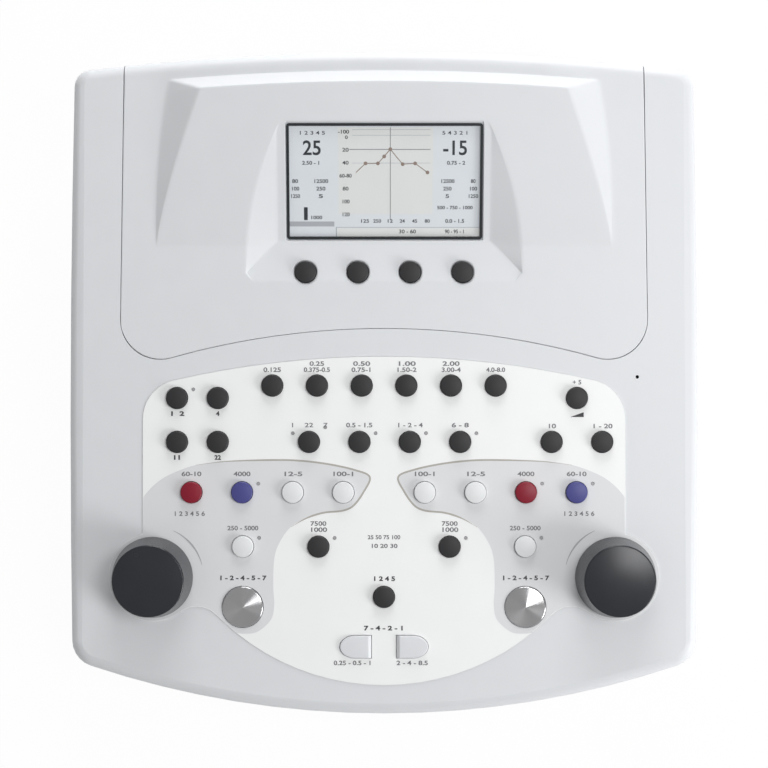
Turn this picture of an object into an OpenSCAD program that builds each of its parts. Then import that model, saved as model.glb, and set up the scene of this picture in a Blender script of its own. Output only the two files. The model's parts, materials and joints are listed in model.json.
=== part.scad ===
// Two-channel desktop audiometer. Millimetres, +Z up, operator's side towards -Y.
// The operating deck is a plane tilted about X. Positions on it are given as [u, v]: u to the right,
// v towards the rear, and w is the height along the deck's own normal.

/* [Case] */
// Width over the case's joint line
case_w = 320; // [300:1:340]
// Deck length from the middle of the front edge to the middle of the rear edge
case_d = 336.4; // [326:0.2:348]
// Slope of the operating deck
deck_tilt = 8; // [5:0.5:11]
// Height of the middle of the deck above the table
deck_z = 60; // [56:0.5:68]
// Depth of the upper shell, from deck to joint line
shell_h = 18; // [16:0.5:21]
// Radius along the top edge of the upper shell
edge_r = 6; // [4:0.5:8]
// Wall of the moulded shells
wall = 3; // [2.5:0.1:3.5]
// Height of the rubber feet
foot_h = 3; // [2:0.5:5]

/* [Display hump] */
// Height of the hump above the deck at its rear edge
hump_h = 9; // [6:0.5:12]
// Slope of the display against the deck
display_tilt = 10.8; // [8:0.2:12]
// Width of the display window
window_w = 99.2; // [96:0.1:102]
// Height of the display window
window_h = 58.6; // [57:0.1:61]

/* [Keys] */
// Diameter of the round keys
key_d = 10.8; // [10:0.1:12.4]
// Height of the key tops above the deck
key_proud = 3.2; // [2:0.1:4]
// Travel of the keys
key_travel = 1.1; // [0.6:0.1:1.2]
// Diameter of the tone interrupters
interrupter_d = 20.7; // [18:0.1:23]
// Gap round each key in its hole
key_gap = 0.3; // [0.3:0.05:0.6]

/* [Knobs] */
// Diameter of the attenuator knobs at their base
knob_d = 40.9; // [36:0.1:42]
// Diameter of the knobs at their top edge
knob_top_d = 35.9; // [32:0.1:38]
// Height of the knob tops above the deck
knob_h = 22; // [18:0.5:26]

/* [Connectors] */
// Bore of the phone jacks
jack_bore = 6.4; // [6.35:0.01:6.5]
// Distance between neighbouring jacks
jack_pitch = 18; // [17:0.5:20]
// Depth of the recess that the rear panel sits in
bay_y = 146; // [144:0.5:149]

/* [Hidden] */
deck_y = -2.5;
base_y = -0.5;
body_grey = [0.85, 0.855, 0.865];
panel_white = [0.93, 0.93, 0.93];
key_black = [0.2, 0.2, 0.21];
key_red = [0.55, 0.07, 0.16];
key_blue = [0.28, 0.28, 0.52];
key_white = [0.9, 0.9, 0.91];
knob_black = [0.2, 0.21, 0.23];
board_green = [0.1, 0.35, 0.2];
metal = [0.75, 0.76, 0.78];
dark = [0.12, 0.12, 0.13];

// Outline of the case: four long arcs, two corner radii a side
rear_v = 168.7;
front_v = rear_v - case_d;
rear_arc = 1270;
front_arc = 470;
side_arc = 7000;
side_v = -20;
rear_corner = 9;
front_corner = 14;
least_corner = 3;
draft = 0.4;

// Control overlay
overlay_t = 1;
overlay_seat = 0.6;
overlay_gap = 0.12;
overlay_half = 122;
overlay_arc = 476;
overlay_top = 13.9;
overlay_corner = 20;
overlay_low = [0, -33.2];
overlay_low_r = 119.1;
knob_at = [117, -97.7];
lobe_r = 22.4;
lobe_fillet = 14;

// Display cover and its seam
seam_gap = 0.5;
cover_half = 133.3;
cover_lean = 2;
cover_corner = 20;
cover_arc = 397;
cover_v = 28.2;
cover_lip = 6.7;

// Levels along the deck normal, from the deck surface down
deck_t = wall;
flange_w = -deck_t - 0.4;
flange_t = 1.2;
flange_over = 1.5;
stem_w = -7.6;
board_w = -13;
board_t = 1.6;
plunger_w = stem_w - key_travel - 0.3;
joint_w = -shell_h;
pillar_w = -30;
soft_drop = 2;

// Display geometry on the deck: the hump rises from hump_v0, the display floor dips below it
hump_v0 = 70;
hump_v1 = 152;
hump_foot_v = 158.7;
display_at = [0.3, 102.3];
recess_rear_v = 132.5;
recess_front_v = 73;
floor_half = 54;
rim_tip_v = 55;
shelf_tip = [69.5, 56.4];
shelf_front = [66, 52];
skin = 2.5;

// Key fields
soft_pitch = 26.5;
soft_v = 56.7;
top_pitch = 22.6;
top_v = -0.8;
preset_u = -94.4;
preset_pitch = 20.6;
cluster_v = -7.1;
second_v = -29.3;
mode_u = 0.3;
mode_pitch = 25.5;
level_u = 97.6;
level_pitch = 25.6;
channel_u = 20.6;
channel_pitch = 25.6;
channel_v = -54.8;
lower_at = [71.4, -82.2];
talk_at = [33.2, -82.3];
store_at = [0, -107.7];
interrupter_at = [71.5, -112.8];
freq_in = 6.4;
freq_out = 22.3;
freq_v = -132.9;
freq_half = 5.65;
mic_at = [128.2, 3.6];

function key(name, u, v, tint) = [name, [u, v], tint];

soft_keys = [for (i = [0:3]) key(str("soft_key_", i + 1), (i - 1.5) * soft_pitch, soft_v, key_black)];
top_keys = [for (i = [0:5]) key(str("top_key_", i + 1), (i - 2.5) * top_pitch, top_v, key_black)];
preset_keys = [for (i = [0:3]) key(str("preset_key_", i + 1),
    preset_u + (i % 2 - 0.5) * preset_pitch, i < 2 ? cluster_v : second_v, key_black)];
mode_keys = [for (i = [0:3]) key(str("mode_key_", i + 1),
    mode_u + (i - 1.5) * mode_pitch, second_v, key_black)];
level_keys = [for (i = [0:2]) key(str("level_key_", i + 1),
    level_u + (i == 0 ? 0 : i - 1.5) * level_pitch, i == 0 ? cluster_v : second_v, key_black)];

// Channel keys run outwards from the middle, and the two channels have red and blue in the same order
left_tints = [key_white, key_white, key_blue, key_red];
right_tints = [key_white, key_white, key_red, key_blue];
left_keys = concat(
    [for (i = [0:3]) key(str("left_channel_key_", i + 1),
        -channel_u - i * channel_pitch, channel_v, left_tints[i])],
    [key("left_channel_key_5", -lower_at[0], lower_at[1], key_white)]);
right_keys = concat(
    [for (i = [0:3]) key(str("right_channel_key_", i + 1),
        channel_u + i * channel_pitch, channel_v, right_tints[i])],
    [key("right_channel_key_5", lower_at[0], lower_at[1], key_white)]);
talk_keys = [key("talk_key_left", -talk_at[0], talk_at[1], key_black),
    key("talk_key_right", talk_at[0], talk_at[1], key_black)];
store_keys = [key("store_key", store_at[0], store_at[1], key_black)];
panel_keys = concat(top_keys, preset_keys, mode_keys, level_keys,
    left_keys, right_keys, talk_keys, store_keys);

sides = [["left", -1], ["right", 1]];

// Indicator lights stand up and to the right of the keys that they belong to
light_offset = [8.2, 4.4];
light_r = 0.8;
lights = concat(
    [for (k = [preset_keys[0], mode_keys[1], mode_keys[2], mode_keys[3], left_keys[2], left_keys[4],
        right_keys[2], right_keys[3], right_keys[4], talk_keys[0], talk_keys[1]]) k[1] + light_offset],
    [mode_keys[0][1] + [-light_offset[0], light_offset[1]], mode_keys[0][1] + [light_offset[0], 7.4]]);

board_screws = [[-70, -17], [70, -17], [0, -56], [-50, -112], [50, -112], [-97, -72], [97, -72]];
case_screws_at = [[-138, 18], [138, 18], [-105, -140], [105, -140], [-138, 138], [138, 138]];
feet_at = [[-122, -122], [122, -122], [-122, 128], [122, 128]];
posts_at = [[-90, -28], [90, -28], [-90, 60], [90, 60], [-90, 112], [90, 112]];
main_z = 20.4;
speaker_at = [-96, -62];
speaker_r = 24;
jacks_x = [for (i = [0:5]) -92 + i * jack_pitch];
socket_z = 30;
panel_t = 1.6;
usb_x = 24;
supply_x = 44;
rocker_x = 74;
rocker_swing = 7;

statics = ["bottom_case", "top_case", "display_cover", "control_overlay", "display_window", "lcd_module",
    "keypad_boards", "key_switches", "indicator_lights", "encoders", "left_shaft", "right_shaft",
    "main_board", "rear_panel", "phone_jacks", "data_ports", "monitor_speaker", "feet", "case_screws"];
moving = concat([for (k = concat(soft_keys, panel_keys)) k[0]],
    [for (s = sides) str("interrupter_", s[0])], [for (s = sides) str("frequency_key_", s[0])],
    [for (s = sides) str("knob_", s[0])], ["power_rocker"]);

$fn = 48;
eps = 0.01;

// ---- placing ----

module on_deck(at = [0, 0], w = 0) {
    translate([0, deck_y, deck_z]) rotate([deck_tilt, 0, 0]) translate([at[0], at[1], w]) children();
}

module on_display() {
    on_deck(display_at, floor_w(display_at[1])) rotate([display_tilt, 0, 0]) children();
}

module both_sides() {
    for (s = sides) mirror([s[1] < 0 ? 1 : 0, 0, 0]) children();
}

// ---- outlines ----

function side_u(v) = case_w / 2 - draft - pow(v - side_v, 2) / (2 * side_arc);
function on_arc(c, r, a) = [c[0] + r * sin(a), c[1] + r * cos(a)];

// Right half of the case outline, grown by o, as points from the rear middle round to the front middle.
// A ring drawn in by more than its corner radius keeps a corner of least_corner.
function half_outline(o) = let (
    rr = max(rear_corner, least_corner - o),
    fr = max(front_corner, least_corner - o),
    ru = side_u(150) - rr,
    rc = [0, rear_v - rear_arc],
    rp = [ru, rc[1] + sqrt(pow(rear_arc - rr, 2) - ru * ru)],
    ra = asin(ru / (rear_arc - rr)),
    fu = side_u(-130) - fr,
    fc = [0, front_v + front_arc],
    fp = [fu, fc[1] - sqrt(pow(front_arc - fr, 2) - fu * fu)],
    fa = 180 - asin(fu / (front_arc - fr))
) concat(
    [for (i = [0:5]) on_arc(rc, rear_arc + o, ra * i / 6)],
    [for (i = [0:5]) on_arc(rp, rr + o, ra + (88.6 - ra) * i / 5)],
    [for (v = [95, 40, -20, -80]) [side_u(v) + o, v]],
    [for (i = [0:5]) on_arc(fp, fr + o, 90.9 + (fa - 90.9) * i / 5)],
    [for (i = [1:8]) on_arc(fc, front_arc + o, fa + (180 - fa) * i / 8)]);

// Whole outline, clockwise from the rear middle
function outline(o) = let (half = half_outline(o), n = len(half))
    concat(half, [for (i = [n - 2:-1:1]) [-half[i][0], half[i][1]]]);

module case_2d(o = 0) {
    polygon(outline(o));
}

// The same outline as a ring in space: at height w on the deck, or level at height z
function deck_ring(w, o) = [for (p = outline(o)) [p[0],
    deck_y + p[1] * cos(deck_tilt) - w * sin(deck_tilt),
    deck_z + p[1] * sin(deck_tilt) + w * cos(deck_tilt)]];
function base_ring(z, o) = [for (p = outline(o)) [p[0], p[1] + base_y, z]];

// Solid through rings of equal point counts, the highest ring first
module loft(rings) {
    n = len(rings[0]);
    last = n * (len(rings) - 1);
    polyhedron(
        points = [for (r = rings, p = r) p],
        faces = concat(
            [[for (i = [0:n - 1]) i], [for (i = [n - 1:-1:0]) last + i]],
            [for (k = [0:n:last - 1], i = [0:n - 1]) [k + i, k + n + i, k + n + (i + 1) % n]],
            [for (k = [0:n:last - 1], i = [0:n - 1]) [k + i, k + n + (i + 1) % n, k + (i + 1) % n]]));
}

// Meeting point of two circles, on the left of the line from c1 to c2 for s = 1
function meet(c1, r1, c2, r2, s) = let (
    d = norm(c2 - c1),
    a = (r1 * r1 - r2 * r2 + d * d) / (2 * d),
    h = sqrt(r1 * r1 - a * a),
    e = (c2 - c1) / d
) c1 + a * e + s * h * [-e[1], e[0]];

// Angle of p seen from c, clockwise from straight up, from 0 to 360
function bearing(c, p) = let (a = atan2(p[0] - c[0], p[1] - c[1])) a < 0 ? a + 360 : a;
function arc_points(c, r, a0, a1, n) = [for (i = [0:n]) on_arc(c, r, a0 + (a1 - a0) * i / n)];

// Right half of the control overlay, clockwise: a wide arc at the top, a round corner, a straight side,
// a lobe round the knob, a fillet and the round lower end
function overlay_half_points(g) = let (
    corner_u = overlay_half - overlay_corner,
    top_c = [0, overlay_top - overlay_arc],
    inner_r = overlay_arc - overlay_corner,
    corner_c = [corner_u, top_c[1] + sqrt(inner_r * inner_r - corner_u * corner_u)],
    top_a = asin(corner_u / inner_r),
    fillet_c = meet(knob_at, lobe_r + lobe_fillet, overlay_low, overlay_low_r + lobe_fillet, 1),
    lobe_a = bearing(knob_at, fillet_c),
    low_a = bearing(overlay_low, fillet_c)
) concat(
    arc_points(top_c, overlay_arc + g, 0, top_a, 8),
    arc_points(corner_c, overlay_corner + g, top_a + 8, 90, 8),
    arc_points(knob_at, lobe_r + g, asin((overlay_half - knob_at[0]) / lobe_r), lobe_a, 20),
    arc_points(fillet_c, lobe_fillet - g, lobe_a + 180 - 8, low_a + 180, 5),
    arc_points(overlay_low, overlay_low_r + g, low_a + 2, 180, 10));

module overlay_2d(g = 0) {
    half = overlay_half_points(g);
    n = len(half);
    polygon(concat(half, [for (i = [n - 2:-1:1]) [-half[i][0], half[i][1]]]));
}

// Display cover: nearly straight sides, round lower corners, a lower edge that arches to the rear
module cover_2d(g = 0) {
    corner_u = cover_half - cover_corner;
    arc_c = [0, cover_v - cover_arc];
    outer_r = cover_arc + cover_corner;
    corner_v = arc_c[1] + sqrt(outer_r * outer_r - corner_u * corner_u);
    tangent_u = corner_u * cover_arc / outer_r;
    polygon([[-cover_half - g, corner_v], [cover_half + g, corner_v],
        [cover_half - cover_lean + g, rear_v + 5], [cover_lean - cover_half - g, rear_v + 5]]);
    for (s = [-1, 1]) translate([s * corner_u, corner_v]) circle(cover_corner + g);
    difference() {
        translate([-tangent_u, 0]) square([2 * tangent_u, corner_v + eps]);
        translate(arc_c) circle(cover_arc - g, $fn = 360);
    }
}

// ---- shells ----

// Outside of the upper shell: a rounded top edge, then a slight draft down to the joint line
module upper_solid() {
    loft(concat([for (t = [0:18:90]) deck_ring(edge_r * (cos(t) - 1), edge_r * (sin(t) - 1))],
        [deck_ring(joint_w, draft)]));
}

module upper_cavity() {
    in_r = edge_r - wall;
    loft(concat([for (t = [0:45:90]) deck_ring(in_r * cos(t) - edge_r, in_r * sin(t) - edge_r)],
        [deck_ring(joint_w - 1, draft - wall)]));
}

// Lower shell: a wedge from the joint line down to a level base drawn in all round
module lower_solid() {
    loft([deck_ring(joint_w, draft), deck_ring(joint_w - 2, draft - 0.2),
        base_ring(foot_h + 4, -9), base_ring(foot_h, -13)]);
}

module lower_cavity() {
    loft([deck_ring(joint_w + 1, draft - wall), deck_ring(joint_w - 2, draft - wall),
        base_ring(foot_h + wall + 3, -9 - wall), base_ring(foot_h + wall, -12 - wall)]);
}

module panel_holes(depth) {
    for (k = panel_keys) translate(k[1]) cylinder(d = key_d + 2 * key_gap, h = depth);
    for (p = lights) translate(p) cylinder(r = light_r + 0.15, h = depth, $fn = 24);
    both_sides() {
        translate(interrupter_at) cylinder(d = interrupter_d + 2 * key_gap, h = depth);
        linear_extrude(depth) frequency_2d(key_gap);
        translate(knob_at) cylinder(r = 5.2, h = depth);
    }
}

module top_case() color(body_grey) {
    difference() {
        upper_solid();
        difference() {
            upper_cavity();
            on_deck(w = -deck_t - skin - 0.1) linear_extrude(skin) difference() {
                cover_2d(1);
                cover_2d(-9);
            }
            for (p = case_screws_at) on_deck(p, pillar_w) cylinder(r = 4.5, h = -pillar_w - 1);
            for (p = board_screws) on_deck(p, board_w) cylinder(r = 2.6, h = -board_w - 1);
        }
        // Seat of the display cover, with the step for its rear lip
        on_deck(w = -deck_t - 0.1) linear_extrude(deck_t + 2) cover_2d(seam_gap / 2);
        on_deck(w = -cover_lip - 0.25) linear_extrude(cover_lip + 1) difference() {
            cover_2d(seam_gap / 2);
            case_2d(-edge_r - 0.3);
        }
        on_deck(w = -deck_t - skin - 1) linear_extrude(skin + 2) cover_2d(-9);
        on_deck(w = -overlay_seat) linear_extrude(2) overlay_2d(overlay_gap);
        on_deck(w = -deck_t - 1) panel_holes(deck_t + 2);
        on_deck(mic_at, -deck_t - 1) cylinder(r = 0.9, h = deck_t + 2, $fn = 24);
        for (p = case_screws_at) on_deck(p, pillar_w - 1) cylinder(r = 1.5, h = 13);
        for (p = board_screws) on_deck(p, board_w - 1) cylinder(r = 1, h = 9, $fn = 24);
    }
}

// ---- display cover ----

function hump_w(v) = hump_h * (v - hump_v0) / (hump_v1 - hump_v0);
function floor_w(v) = hump_w(recess_rear_v) - (recess_rear_v - v) * tan(display_tilt);
function arc_drop(u) = rear_arc - sqrt(rear_arc * rear_arc - u * u);

// Side of the hump: its foot bends in towards the rear, its top edge is drawn in as the hump rises
function hump_foot(v) = 115.6 - 6.3 * pow(max(0, v - hump_v0) / 80, 2.5);
function hump_edge(v) = 115.1 - (v - hump_v0) * 0.054
    - 19.5 * pow(max(0, v - hump_v0) / (hump_v1 - hump_v0), 1.35);
// Rim of the display recess on the hump, from its rear corner to its front, and the floor inside it
function recess_rim(v) = 70 - 17.6 * pow(max(0, v - rim_tip_v) / (recess_rear_v - rim_tip_v), 2.2);
function recess_floor(v) = min(floor_half, recess_rim(v) - 0.8);

module spot(u, v, w) {
    for (s = [-1, 1]) translate([s * u, v, w]) cube(eps, center = true);
}

module hump(t = 0) {
    low = t > 0 ? -deck_t - 2 : -1.5;
    on_deck() hull() {
        for (v = [hump_v0 - 4 + 2 * t, 90, 110, 128, 142, hump_v1 - t]) {
            spot(hump_foot(v) - t, v, low);
            spot(hump_edge(v) - t, v - (v > 150 ? arc_drop(hump_edge(v)) : 0), hump_w(v) - t);
        }
        for (u = [0, 30, 60, 85]) {
            spot(u, hump_v1 - t - arc_drop(u), hump_w(hump_v1) - t);
            spot(u, hump_foot_v - t - arc_drop(u), low);
        }
        spot(hump_foot(hump_v1) - 2 - t, hump_foot_v - t - arc_drop(108), low);
    }
}

// The display recess: t = 0 is the hollow, and t > 0 is the tub that stands round it
module recess(t = 0) {
    reach = t > 0 ? 0.75 : 1.5;
    on_deck() {
        hull() for (v = [recess_rear_v, 120, 104, 88, recess_front_v]) {
            rim = [recess_rim(v), hump_w(v)];
            foot = [recess_floor(v), floor_w(v)];
            out = foot + (rim - foot) * reach;
            back = v > 130 ? t : 0;
            spot(foot[0] + t, v + back, floor_w(v + back) - t);
            spot(out[0] + t, v + back, out[1]);
        }
        // The shelf in front of the display: a plane that climbs to the deck at shelf_front
        hull() {
            top = t > 0 ? -0.5 : 1.5;
            rise = -floor_w(recess_front_v) / (recess_front_v - shelf_front[1]);
            spot(recess_floor(recess_front_v) + t, recess_front_v, floor_w(recess_front_v) - t);
            spot(shelf_tip[0] + t, shelf_tip[1], (shelf_front[1] - shelf_tip[1]) * rise - t);
            spot(shelf_front[0] + t, shelf_front[1], -t);
            spot(recess_rim(recess_front_v) + t, recess_front_v, top);
            spot(shelf_tip[0] + 0.5 + t, shelf_tip[1], top);
            spot(shelf_front[0] + 0.5 + t, shelf_front[1] - (t > 0 ? 0 : top / rise), top);
        }
    }
}

module display_cover() color(body_grey) {
    difference() {
        union() {
            difference() {
                union() {
                    intersection() {
                        upper_solid();
                        on_deck(w = -cover_lip) linear_extrude(cover_lip + 1) cover_2d(-seam_gap / 2);
                    }
                    hump();
                }
                hump(skin);
                on_deck(w = -cover_lip - 1) linear_extrude(cover_lip + 1 - deck_t) case_2d(-edge_r);
            }
            recess(skin);
        }
        recess();
        on_display() {
            translate([0, 0, -1.6]) linear_extrude(4) square([window_w + 0.4, window_h + 0.4], center = true);
            translate([0, 0, -5]) linear_extrude(8) square([96, 55.4], center = true);
        }
        for (k = soft_keys) on_deck(k[1], -12) cylinder(d = key_d + 2 * key_gap, h = 16);
    }
}

module display_window() color([0.1, 0.11, 0.12, 0.6]) on_display() translate([0, 0, -1.6]) {
    corner = 1.5;
    linear_extrude(1.8) offset(r = corner)
        square([window_w - 2 * corner, window_h - 2 * corner], center = true);
}

module lcd_module() color([0.8, 0.83, 0.88]) on_display() {
    translate([-52.75, -33.6, -skin - 3.25]) cube([105.5, 67.2, 3.2]);
    translate([-47.7, -27.4, -skin - 1]) cube([95.4, 54.8, 1.75]);
}

module control_overlay() color(panel_white) {
    difference() {
        on_deck(w = -overlay_seat) linear_extrude(overlay_t) overlay_2d();
        on_deck(w = -overlay_seat - 1) panel_holes(overlay_t + 2);
    }
}

// ---- keys ----

module push_key(k, drop = 0) color(k[2]) on_deck(k[1], -drop) {
    r = key_d / 2;
    crown = 0.5;
    crown_r = (r * r + crown * crown) / (2 * crown);
    rotate_extrude() {
        intersection() {
            translate([0, flange_w]) square([r, key_proud - flange_w]);
            translate([0, key_proud - crown_r]) circle(crown_r, $fn = 360);
            union() {
                translate([0, flange_w - 1]) square([r - 0.6, key_proud - flange_w + 2]);
                translate([0, flange_w - 1]) square([r, key_proud - crown - 0.6 - flange_w + 1]);
                translate([r - 0.6, key_proud - crown - 0.6]) circle(0.6, $fn = 24);
            }
        }
        translate([0, flange_w - flange_t]) square([r + flange_over, flange_t]);
        translate([0, stem_w]) square([2, flange_w - stem_w]);
    }
}

// Tone interrupter: a shallow cone of spun metal on a flanged skirt
module interrupter(s) color(metal) on_deck([s * interrupter_at[0], interrupter_at[1]]) {
    r = interrupter_d / 2;
    slope = 8;
    edge = 0.6;
    rim = 1.2;
    turn = 90 - slope;
    top = rim - edge * (1 - sin(turn)) + (r - edge * (1 - cos(turn))) * tan(slope);
    rotate_extrude() {
        polygon(concat([[0, flange_w], [r, flange_w]],
            [for (a = [0:turn / 6:turn + eps]) [r - edge * (1 - cos(a)), rim - edge * (1 - sin(a))]],
            [[0, top]]));
        translate([0, flange_w - flange_t]) square([r + flange_over, flange_t]);
        translate([0, stem_w]) square([2.5, flange_w - stem_w]);
    }
}

// D-shaped key: straight towards the middle of the deck, half an ellipse at its outer end
module frequency_2d(g = 0) {
    mid = 14.6;
    translate([0, freq_v]) polygon(concat([[freq_in - g, -freq_half - g], [freq_in - g, freq_half + g]],
        [for (a = [90:-10:-90]) [mid + (freq_out - mid + g) * cos(a), (freq_half + g) * sin(a)]]));
}

module frequency_key(s) color(key_white) on_deck() mirror([s < 0 ? 1 : 0, 0, 0]) {
    translate([0, 0, flange_w]) linear_extrude(1.9 - flange_w) frequency_2d();
    translate([0, 0, flange_w - flange_t]) linear_extrude(flange_t) frequency_2d(1.2);
    translate([13, freq_v, stem_w]) cylinder(r = 2, h = flange_w - stem_w);
}

module knob(s) color(knob_black) on_deck([s * knob_at[0], knob_at[1]]) {
    base = 1;
    edge = 1;
    crown = 1.2;
    rb = knob_d / 2;
    rt = knob_top_d / 2;
    shoulder = knob_h - crown;
    crown_r = (rt * rt + crown * crown) / (2 * crown);
    difference() {
        rotate_extrude() intersection() {
            union() {
                polygon([[0, base], [rb, base], [rt + 0.25, shoulder - edge], [0, shoulder - edge]]);
                translate([0, base]) square([rt - edge, knob_h - base]);
                translate([rt - edge, shoulder - edge]) circle(edge + 0.1, $fn = 48);
            }
            translate([0, knob_h - crown_r]) circle(crown_r, $fn = 360);
        }
        // Hollow underside round the hub
        rotate_extrude() polygon([[6.5, 0], [rb - 2.2, 0], [rt - 2.5, 17.5], [6.5, 17.5]]);
        translate([0, 0, -1]) cylinder(r = 7, h = 4);
        difference() {
            cylinder(r = 3.05, h = 16.2);
            translate([-4, 1.6, 5.9]) cube([8, 4, 12]);
        }
    }
}

module encoder_shaft(s) color(metal) on_deck([s * knob_at[0], knob_at[1]]) difference() {
    translate([0, 0, -8.7]) cylinder(r = 3, h = 24.7);
    translate([-4, 1.5, 5.7]) cube([8, 4, 12]);
}

module encoders() color(metal) both_sides() on_deck(knob_at) difference() {
    union() {
        translate([-6.5, -7, board_w]) cube([13, 14, 7]);
        translate([0, 0, board_w + 6.5]) cylinder(r = 4.5, h = 8);
    }
    translate([0, 0, -9]) cylinder(r = 3.1, h = 20);
}

// ---- boards and what stands on them ----

module keypad_boards() color(board_green) {
    on_deck(w = board_w - board_t) difference() {
        linear_extrude(board_t) overlay_2d(-4);
        for (p = board_screws) translate([p[0], p[1], -1]) cylinder(r = 1.1, h = board_t + 2, $fn = 24);
    }
    on_deck([0, soft_v], board_w - soft_drop - board_t) difference() {
        translate([-52, -8, 0]) cube([104, 16, board_t]);
        for (x = [-47, 47]) translate([x, 0, -1]) cylinder(r = 1.6, h = board_t + 2, $fn = 24);
    }
}

module tact_switch() {
    body = plunger_w - board_w - 0.8;
    translate([-3, -3, board_w]) cube([6, 6, body]);
    translate([0, 0, board_w]) cylinder(r = 1.7, h = plunger_w - board_w, $fn = 24);
}

module key_switches() color(dark) {
    for (k = panel_keys) on_deck(k[1]) tact_switch();
    for (k = soft_keys) on_deck(k[1], -soft_drop) tact_switch();
    both_sides() {
        on_deck(interrupter_at) tact_switch();
        on_deck([13, freq_v]) tact_switch();
    }
}

module indicator_lights() color([0.3, 0.31, 0.33]) {
    for (p = lights) on_deck(p, board_w) {
        cylinder(r = light_r, h = overlay_t - overlay_seat - board_w, $fn = 24);
        cylinder(r = 1.5, h = 2.5, $fn = 24);
    }
}

module main_board() color(board_green) translate([0, 0, main_z]) {
    difference() {
        translate([-100, -38, 0]) cube([200, 156, board_t]);
        for (p = posts_at) translate([p[0], p[1], -1]) cylinder(r = 1.6, h = board_t + 2, $fn = 24);
    }
    translate([0, 0, board_t]) {
        translate([-30, 0, 0]) cube([20, 20, 1.6]);
        translate([10, 10, 0]) cube([14, 20, 1.2]);
        translate([-60, 40, 0]) cube([28, 14, 9]);
        for (i = [0:3]) translate([40 + 12 * i, 70, 0]) cylinder(r = 4, h = 10);
    }
}

// ---- lower shell ----

module bay_block(x, z0, z1, y0) {
    translate([-x, y0, z0]) cube([2 * x, 60, z1 - z0]);
}

module bottom_case() color(body_grey * 0.97) {
    difference() {
        lower_solid();
        difference() {
            lower_cavity();
            for (p = case_screws_at) on_deck(p, -90) cylinder(r = 5, h = 90 + pillar_w);
            for (p = posts_at) translate([p[0], p[1], 0]) cylinder(r = 4, h = main_z);
            bay_block(110, foot_h + 5, 52, bay_y - wall);
            translate([speaker_at[0], speaker_at[1], 0]) difference() {
                cylinder(r = speaker_r + 2.6, h = 12);
                translate([0, 0, -1]) cylinder(r = speaker_r + 0.2, h = 20);
            }
        }
        bay_block(107, foot_h + 8, 49, bay_y);
        bay_block(101, foot_h + 12, 45, bay_y - wall - 1);
        for (p = case_screws_at) {
            on_deck(p, -120) cylinder(r = 3.6, h = 120 + pillar_w - 4);
            on_deck(p, -60) cylinder(r = 1.7, h = 61 + pillar_w, $fn = 24);
        }
        for (p = posts_at) translate([p[0], p[1], main_z - 10]) cylinder(r = 1.2, h = 11, $fn = 24);
        for (p = feet_at) translate([p[0], p[1], 0]) cylinder(r = 8.2, h = foot_h + 1);
        // Sound holes under the monitor speaker, in rings
        translate([speaker_at[0], speaker_at[1], 0]) for (ring = [0:3], i = [0:max(0, 6 * ring - 1)])
            rotate(i * 60 / max(1, ring)) translate([5 * ring, 0, 0]) cylinder(r = 1.2, h = 20, $fn = 24);
    }
}

module feet() color(dark) {
    for (p = feet_at) translate([p[0], p[1], 0]) rotate_extrude()
        polygon([[0, 0], [7, 0], [7.8, 1], [8, foot_h + 1], [0, foot_h + 1]]);
}

module case_screw() {
    cylinder(r = 1.45, h = 12, $fn = 24);
    translate([0, 0, -2.2]) difference() {
        cylinder(r = 3, h = 2.2);
        translate([-0.5, -2, -1]) cube([1, 4, 2]);
        translate([-2, -0.5, -1]) cube([4, 1, 2]);
    }
}

module case_screws() color(metal) {
    for (p = case_screws_at) on_deck(p, pillar_w - 4) case_screw();
}

module monitor_speaker() color(dark) translate([speaker_at[0], speaker_at[1], foot_h + wall]) {
    rotate_extrude() polygon([[14, 0.8], [speaker_r - 3, 0.8], [speaker_r - 3, 0], [speaker_r, 0],
        [speaker_r, 2], [14, 9], [14, 14], [0, 14], [0, 5], [8, 5]]);
}

// ---- rear connectors ----

module rear_panel() color([0.3, 0.31, 0.33]) {
    difference() {
        translate([-105, bay_y, foot_h + 10]) cube([210, panel_t, 34.5]);
        translate([0, bay_y - 1, socket_z]) rotate([-90, 0, 0]) {
            for (x = jacks_x) translate([x, 0, 0]) cylinder(r = 5.6, h = 4);
            translate([supply_x, 0, 0]) cylinder(r = 4.6, h = 4);
        }
        translate([usb_x - 6.1, bay_y - 1, socket_z - 5.6]) cube([12.2, 4, 11.2]);
        translate([rocker_x - 10.7, bay_y - 1, socket_z - 7.7]) cube([21.4, 4, 15.4]);
    }
}

module phone_jacks() color(dark) for (x = jacks_x) translate([x, bay_y, socket_z]) rotate([-90, 0, 0]) {
    difference() {
        union() {
            translate([-8, -8, -24]) cube([16, 16, 24]);
            cylinder(r = 5.5, h = 4.6);
        }
        translate([0, 0, -20]) cylinder(d = jack_bore, h = 30);
    }
}

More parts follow.
